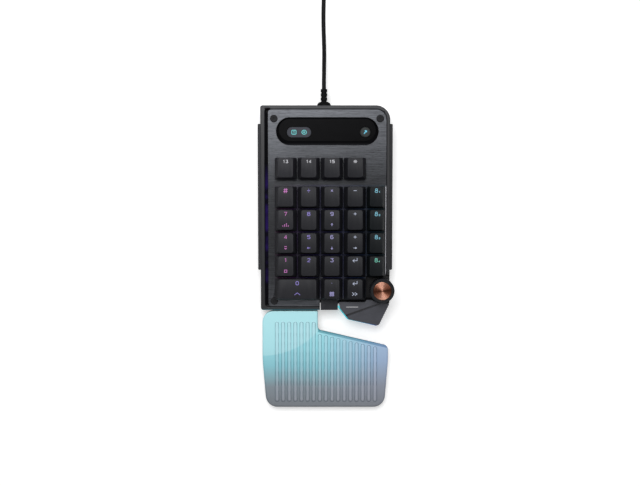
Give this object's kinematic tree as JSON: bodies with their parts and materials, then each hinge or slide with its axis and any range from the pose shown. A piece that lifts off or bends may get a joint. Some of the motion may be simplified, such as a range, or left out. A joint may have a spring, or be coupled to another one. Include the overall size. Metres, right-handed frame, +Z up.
{
  "type": "gaming keypad",
  "caption": "One-handed wedge-shaped keypad: a number pad with extra keys, a turning knob, a thumb paddle, a sunk status panel, a pull-off ribbed palm rest and a lead.",
  "frame": {"origin": "on the desk, under the middle of the keypad with its palm rest, the lead not counted", "axes": "+X to the user's right, +Y away from the user towards the lead, +Z up"},
  "size_m": [0.1598, 0.4235, 0.0367],
  "materials": {
    "brushed_plate": "brushed across, gunmetal anodised",
    "frame_plastic": "fine satin",
    "case_plastic": "fine spark texture",
    "rail_plastic": "satin",
    "light_diffuser": "milky diffuser, lit",
    "key_plastic": "fine matte coat, lit signs",
    "paddle_plastic": "satin",
    "base_plastic": "fine satin",
    "panel_plastic": "polished",
    "window_plastic": "smoked",
    "knob_plastic": "satin, fluted",
    "copper_disc": "spun copper, turned rings",
    "screw_steel": "blackened",
    "foot_rubber": "matte",
    "palm_rubber": "pearl soft touch",
    "board_laminate": "solder mask",
    "switch_plastic": "moulded",
    "spring_steel": "bright",
    "cable_rubber": "satin",
    "plug_plastic": "satin, with a bright shell"
  },
  "bodies": {
    "keypad": {"top_plate": "brushed_plate", "upper_frame": "frame_plastic", "bottom_case": "case_plastic", "left_rail": "rail_plastic", "right_rail": "rail_plastic", "light_bar": "light_diffuser", "thumb_light_strip": "light_diffuser", "thumb_base": "base_plastic", "status_panel": "panel_plastic", "indicator_window": "window_plastic", "plate_screws": "screw_steel", "case_feet": "foot_rubber", "circuit_board": "board_laminate", "switch_bases": "switch_plastic", "switch_tops": "switch_plastic", "stabiliser_housings": "switch_plastic", "tact_switches": "switch_plastic", "switch_springs": "spring_steel", "encoder_body": "spring_steel", "strain_relief": "cable_rubber", "cable_lead": "cable_rubber", "cable_coil": "cable_rubber", "cable_plug": "plug_plastic"},
    "key_0": {"key_0": "key_plastic"},
    "key_point": {"key_point": "key_plastic"},
    "key_enter_lower": {"key_enter_lower": "key_plastic"},
    "key_1": {"key_1": "key_plastic"},
    "key_2": {"key_2": "key_plastic"},
    "key_3": {"key_3": "key_plastic"},
    "key_enter_upper": {"key_enter_upper": "key_plastic"},
    "key_macro_4": {"key_macro_4": "key_plastic"},
    "key_4": {"key_4": "key_plastic"},
    "key_5": {"key_5": "key_plastic"},
    "key_6": {"key_6": "key_plastic"},
    "key_plus_lower": {"key_plus_lower": "key_plastic"},
    "key_macro_3": {"key_macro_3": "key_plastic"},
    "key_7": {"key_7": "key_plastic"},
    "key_8": {"key_8": "key_plastic"},
    "key_9": {"key_9": "key_plastic"},
    "key_plus_upper": {"key_plus_upper": "key_plastic"},
    "key_macro_2": {"key_macro_2": "key_plastic"},
    "key_lock": {"key_lock": "key_plastic"},
    "key_divide": {"key_divide": "key_plastic"},
    "key_multiply": {"key_multiply": "key_plastic"},
    "key_minus": {"key_minus": "key_plastic"},
    "key_macro_1": {"key_macro_1": "key_plastic"},
    "key_function_1": {"key_function_1": "key_plastic"},
    "key_function_2": {"key_function_2": "key_plastic"},
    "key_function_3": {"key_function_3": "key_plastic"},
    "key_function_4": {"key_function_4": "key_plastic"},
    "stabiliser_wire": {"stabiliser_wire": "spring_steel"},
    "thumb_key": {"thumb_key": "paddle_plastic"},
    "profile_button": {"profile_button": "panel_plastic"},
    "knob_plunger": {"encoder_plunger": "switch_plastic"},
    "knob": {"encoder_shaft": "spring_steel", "knob_body": "knob_plastic", "knob_disc": "copper_disc"},
    "palm_rest": {"palm_pad": "palm_rubber", "palm_base": "case_plastic", "palm_feet": "foot_rubber"}
  },
  "joints": [
    {"name": "knob_spin", "type": "hinge", "parent": "knob_plunger", "child": "knob", "pos_m": [0.0469, -0.02738, 0.02657], "axis": [0, -0.061, 0.9981], "continuous": true},
    {"name": "knob_press", "type": "slide", "parent": "keypad", "child": "knob_plunger", "axis": [0, 0.061, -0.9981], "range_m": [0, 0.0005], "stiffness_N_per_m": 2000, "springref_m": -0.001},
    {"name": "palm_rest_pull", "type": "slide", "parent": "keypad", "child": "palm_rest", "axis": [0, -1, 0], "range_m": [0, 0.02]},
    {"name": "thumb_key_press", "type": "hinge", "parent": "keypad", "child": "thumb_key", "pos_m": [0.031, -0.0418, 0.01376], "axis": [1, 0, 0], "range_deg": [0, 5], "stiffness_Nm_per_rad": 0.06, "springref_deg": -5.73},
    {"name": "profile_button_press", "type": "slide", "parent": "keypad", "child": "profile_button", "axis": [0, 0.061, -0.9981], "range_m": [0, 0.0004], "stiffness_N_per_m": 600, "springref_m": -0.001},
    {"name": "key_0_press", "type": "slide", "parent": "keypad", "child": "key_0", "axis": [0, 0.061, -0.9981], "range_m": [0, 0.004], "stiffness_N_per_m": 110, "springref_m": -0.004, "deforming": ["switch_springs"]},
    {"name": "stabiliser_wire_tilt", "type": "hinge", "parent": "keypad", "child": "stabiliser_wire", "pos_m": [-0.02312, -0.03468, 0.0169], "axis": [-1, 0, 0], "range_deg": [0, 26.8]},
    {"name": "key_point_press", "type": "slide", "parent": "keypad", "child": "key_point", "axis": [0, 0.061, -0.9981], "range_m": [0, 0.004], "stiffness_N_per_m": 110, "springref_m": -0.004, "deforming": ["switch_springs"]},
    {"name": "key_enter_lower_press", "type": "slide", "parent": "keypad", "child": "key_enter_lower", "axis": [0, 0.061, -0.9981], "range_m": [0, 0.004], "stiffness_N_per_m": 110, "springref_m": -0.004, "deforming": ["switch_springs"]},
    {"name": "key_1_press", "type": "slide", "parent": "keypad", "child": "key_1", "axis": [0, 0.061, -0.9981], "range_m": [0, 0.004], "stiffness_N_per_m": 110, "springref_m": -0.004, "deforming": ["switch_springs"]},
    {"name": "key_2_press", "type": "slide", "parent": "keypad", "child": "key_2", "axis": [0, 0.061, -0.9981], "range_m": [0, 0.004], "stiffness_N_per_m": 110, "springref_m": -0.004, "deforming": ["switch_springs"]},
    {"name": "key_3_press", "type": "slide", "parent": "keypad", "child": "key_3", "axis": [0, 0.061, -0.9981], "range_m": [0, 0.004], "stiffness_N_per_m": 110, "springref_m": -0.004, "deforming": ["switch_springs"]},
    {"name": "key_enter_upper_press", "type": "slide", "parent": "keypad", "child": "key_enter_upper", "axis": [0, 0.061, -0.9981], "range_m": [0, 0.004], "stiffness_N_per_m": 110, "springref_m": -0.004, "deforming": ["switch_springs"]},
    {"name": "key_macro_4_press", "type": "slide", "parent": "keypad", "child": "key_macro_4", "axis": [0, 0.061, -0.9981], "range_m": [0, 0.004], "stiffness_N_per_m": 110, "springref_m": -0.004, "deforming": ["switch_springs"]},
    {"name": "key_4_press", "type": "slide", "parent": "keypad", "child": "key_4", "axis": [0, 0.061, -0.9981], "range_m": [0, 0.004], "stiffness_N_per_m": 110, "springref_m": -0.004, "deforming": ["switch_springs"]},
    {"name": "key_5_press", "type": "slide", "parent": "keypad", "child": "key_5", "axis": [0, 0.061, -0.9981], "range_m": [0, 0.004], "stiffness_N_per_m": 110, "springref_m": -0.004, "deforming": ["switch_springs"]},
    {"name": "key_6_press", "type": "slide", "parent": "keypad", "child": "key_6", "axis": [0, 0.061, -0.9981], "range_m": [0, 0.004], "stiffness_N_per_m": 110, "springref_m": -0.004, "deforming": ["switch_springs"]},
    {"name": "key_plus_lower_press", "type": "slide", "parent": "keypad", "child": "key_plus_lower", "axis": [0, 0.061, -0.9981], "range_m": [0, 0.004], "stiffness_N_per_m": 110, "springref_m": -0.004, "deforming": ["switch_springs"]},
    {"name": "key_macro_3_press", "type": "slide", "parent": "keypad", "child": "key_macro_3", "axis": [0, 0.061, -0.9981], "range_m": [0, 0.004], "stiffness_N_per_m": 110, "springref_m": -0.004, "deforming": ["switch_springs"]},
    {"name": "key_7_press", "type": "slide", "parent": "keypad", "child": "key_7", "axis": [0, 0.061, -0.9981], "range_m": [0, 0.004], "stiffness_N_per_m": 110, "springref_m": -0.004, "deforming": ["switch_springs"]},
    {"name": "key_8_press", "type": "slide", "parent": "keypad", "child": "key_8", "axis": [0, 0.061, -0.9981], "range_m": [0, 0.004], "stiffness_N_per_m": 110, "springref_m": -0.004, "deforming": ["switch_springs"]},
    {"name": "key_9_press", "type": "slide", "parent": "keypad", "child": "key_9", "axis": [0, 0.061, -0.9981], "range_m": [0, 0.004], "stiffness_N_per_m": 110, "springref_m": -0.004, "deforming": ["switch_springs"]},
    {"name": "key_plus_upper_press", "type": "slide", "parent": "keypad", "child": "key_plus_upper", "axis": [0, 0.061, -0.9981], "range_m": [0, 0.004], "stiffness_N_per_m": 110, "springref_m": -0.004, "deforming": ["switch_springs"]},
    {"name": "key_macro_2_press", "type": "slide", "parent": "keypad", "child": "key_macro_2", "axis": [0, 0.061, -0.9981], "range_m": [0, 0.004], "stiffness_N_per_m": 110, "springref_m": -0.004, "deforming": ["switch_springs"]},
    {"name": "key_lock_press", "type": "slide", "parent": "keypad", "child": "key_lock", "axis": [0, 0.061, -0.9981], "range_m": [0, 0.004], "stiffness_N_per_m": 110, "springref_m": -0.004, "deforming": ["switch_springs"]},
    {"name": "key_divide_press", "type": "slide", "parent": "keypad", "child": "key_divide", "axis": [0, 0.061, -0.9981], "range_m": [0, 0.004], "stiffness_N_per_m": 110, "springref_m": -0.004, "deforming": ["switch_springs"]},
    {"name": "key_multiply_press", "type": "slide", "parent": "keypad", "child": "key_multiply", "axis": [0, 0.061, -0.9981], "range_m": [0, 0.004], "stiffness_N_per_m": 110, "springref_m": -0.004, "deforming": ["switch_springs"]},
    {"name": "key_minus_press", "type": "slide", "parent": "keypad", "child": "key_minus", "axis": [0, 0.061, -0.9981], "range_m": [0, 0.004], "stiffness_N_per_m": 110, "springref_m": -0.004, "deforming": ["switch_springs"]},
    {"name": "key_macro_1_press", "type": "slide", "parent": "keypad", "child": "key_macro_1", "axis": [0, 0.061, -0.9981], "range_m": [0, 0.004], "stiffness_N_per_m": 110, "springref_m": -0.004, "deforming": ["switch_springs"]},
    {"name": "key_function_1_press", "type": "slide", "parent": "keypad", "child": "key_function_1", "axis": [0, 0.061, -0.9981], "range_m": [0, 0.004], "stiffness_N_per_m": 110, "springref_m": -0.004, "deforming": ["switch_springs"]},
    {"name": "key_function_2_press", "type": "slide", "parent": "keypad", "child": "key_function_2", "axis": [0, 0.061, -0.9981], "range_m": [0, 0.004], "stiffness_N_per_m": 110, "springref_m": -0.004, "deforming": ["switch_springs"]},
    {"name": "key_function_3_press", "type": "slide", "parent": "keypad", "child": "key_function_3", "axis": [0, 0.061, -0.9981], "range_m": [0, 0.004], "stiffness_N_per_m": 110, "springref_m": -0.004, "deforming": ["switch_springs"]},
    {"name": "key_function_4_press", "type": "slide", "parent": "keypad", "child": "key_function_4", "axis": [0, 0.061, -0.9981], "range_m": [0, 0.004], "stiffness_N_per_m": 110, "springref_m": -0.004, "deforming": ["switch_springs"]}
  ],
  "couplings": [
    {"joint": "stabiliser_wire_tilt", "follows": "key_0_press", "rad_per_m": 116.8}
  ]
}
